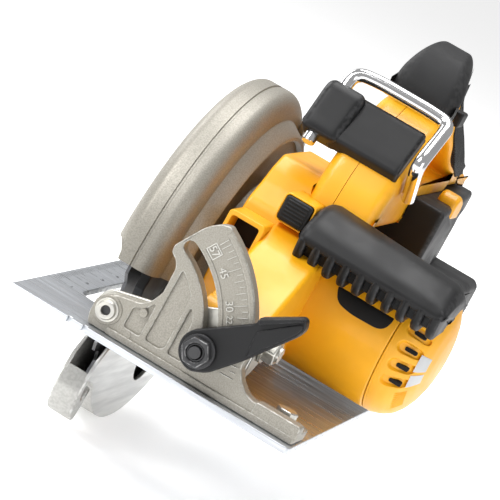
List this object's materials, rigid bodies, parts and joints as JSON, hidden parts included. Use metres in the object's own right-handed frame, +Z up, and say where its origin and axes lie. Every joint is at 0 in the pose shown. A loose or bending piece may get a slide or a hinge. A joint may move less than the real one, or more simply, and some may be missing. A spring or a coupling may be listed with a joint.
{
  "type": "circular saw",
  "caption": "Cordless circular saw with tilting slotted shoe, swinging lower blade guard, depth pivot, motor drum, top handle, front pommel, folding hook and slide-on battery.",
  "frame": {"origin": "on the sole of the shoe, straight below the arbor axis, in the middle of the shoe's motor-side land", "axes": "+X points to the motor side, square to the blade; -Y is the cutting direction; +Z is up, away from the work"},
  "size_m": [0.182, 0.3279, 0.2555],
  "materials": {
    "sheet": "brushed sheet",
    "cast": "sand-cast, satin painted",
    "zinc": "zinc plated",
    "dark_steel": "blackened steel",
    "blade_steel": "ground steel",
    "bearing_steel": "polished",
    "winding": "lacquered copper winding",
    "yellow_plastic": "fine-textured moulding",
    "black_plastic": "fine-textured moulding",
    "grip_rubber": "soft overmould",
    "chrome_rod": "polished"
  },
  "bodies": {
    "shoe": {"shoe_plate": "sheet", "bevel_quadrant": "cast", "quadrant_bolt": "zinc", "bevel_front_pin": "zinc", "rear_bevel_ear": "cast", "bevel_rear_pin": "zinc"},
    "tilt_bracket": {"bevel_bracket": "zinc", "depth_bracket": "zinc", "bevel_lock_bolt": "zinc", "bevel_lock_nut": "dark_steel", "depth_pivot_bolt": "zinc", "depth_pivot_nut": "zinc"},
    "bevel_lever": {"bevel_lock_lever": "black_plastic"},
    "head": {"upper_guard": "cast", "chip_shield": "black_plastic", "bearing_plate": "cast", "spindle_front_bearing": "bearing_steel", "spindle_rear_bearing": "bearing_steel", "gear_housing": "yellow_plastic", "motor_housing": "yellow_plastic", "motor_end_cap": "yellow_plastic", "motor_stator": "winding", "motor_front_bearing": "bearing_steel", "motor_rear_bearing": "bearing_steel", "handle_left_half": "yellow_plastic", "handle_right_half": "yellow_plastic", "handle_cap": "grip_rubber", "grip_pad": "grip_rubber", "battery_foot": "black_plastic", "motor_controller": "black_plastic", "pommel_handle": "grip_rubber", "hook_clamp": "black_plastic", "depth_lock_bolt": "zinc"},
    "depth_lever": {"depth_lock_lever": "black_plastic"},
    "lower_guard": {"lower_guard": "cast", "lower_guard_lever": "black_plastic"},
    "blade_spindle": {"blade": "blade_steel", "inner_flange": "dark_steel", "outer_flange": "dark_steel", "blade_bolt": "zinc", "spindle": "dark_steel", "spindle_gear": "dark_steel"},
    "rotor": {"motor_rotor": "dark_steel", "motor_shaft_pinion": "dark_steel", "cooling_fan": "black_plastic"},
    "trigger": {"trigger": "black_plastic"},
    "lock_off": {"lock_off_button": "black_plastic"},
    "spindle_lock": {"spindle_lock_button": "black_plastic"},
    "rafter_hook": {"rafter_hook": "chrome_rod"},
    "battery": {"battery_case": "black_plastic"},
    "battery_release": {"battery_release_button": "yellow_plastic"}
  },
  "joints": [
    {"name": "bevel_tilt", "type": "hinge", "parent": "shoe", "child": "tilt_bracket", "pos_m": [-0.0625, -0.145, 0.014], "axis": [0, -1, 0], "range_deg": [0, 57]},
    {"name": "bevel_lever_turn", "type": "hinge", "parent": "tilt_bracket", "child": "bevel_lever", "pos_m": [-0.01246, -0.15, 0.02148], "axis": [0, -1, 0], "range_deg": [0, 35]},
    {"name": "depth_swing", "type": "hinge", "parent": "tilt_bracket", "child": "head", "pos_m": [0, -0.121, 0.0326], "axis": [1, 0, 0], "range_deg": [0, 31]},
    {"name": "depth_lever_turn", "type": "hinge", "parent": "head", "child": "depth_lever", "pos_m": [-0.05, 0.06, 0.015], "axis": [1, 0, 0], "range_deg": [0, 35]},
    {"name": "lower_guard_turn", "type": "hinge", "parent": "head", "child": "lower_guard", "pos_m": [-0.076, 0, 0.028], "axis": [1, 0, 0], "range_deg": [0, 110], "stiffness_Nm_per_rad": 0.25, "springref_deg": -57.3},
    {"name": "blade_spin", "type": "hinge", "parent": "head", "child": "blade_spindle", "pos_m": [-0.075, 0, 0.028], "axis": [1, 0, 0], "continuous": true},
    {"name": "rotor_spin", "type": "hinge", "parent": "head", "child": "rotor", "pos_m": [0.02, -0.022, 0.05124], "axis": [1, 0, 0], "continuous": true},
    {"name": "trigger_squeeze", "type": "hinge", "parent": "head", "child": "trigger", "pos_m": [-0.004, 0.046, 0.1505], "axis": [-1, 0, 0], "range_deg": [0, 7], "stiffness_Nm_per_rad": 0.8, "springref_deg": -8.59},
    {"name": "lock_off_push", "type": "slide", "parent": "head", "child": "lock_off", "axis": [-1, 0, 0], "range_m": [0, 0.003], "stiffness_N_per_m": 500, "springref_m": -0.001},
    {"name": "spindle_lock_push", "type": "slide", "parent": "head", "child": "spindle_lock", "axis": [0, 1, 0], "range_m": [0, 0.004], "stiffness_N_per_m": 700, "springref_m": -0.001},
    {"name": "rafter_hook_swing", "type": "hinge", "parent": "head", "child": "rafter_hook", "pos_m": [-0.036, -0.0475, 0.118], "axis": [0, -0.5, -0.866], "range_deg": [0, 90]},
    {"name": "battery_slide", "type": "slide", "parent": "head", "child": "battery", "axis": [0, 1, 0], "range_m": [0, 0.1]},
    {"name": "battery_release_press", "type": "slide", "parent": "battery", "child": "battery_release", "axis": [1, 0, 0], "range_m": [0, 0.002], "stiffness_N_per_m": 500, "springref_m": -0.001}
  ],
  "couplings": [
    {"joint": "rotor_spin", "follows": "blade_spin", "ratio": -3}
  ]
}
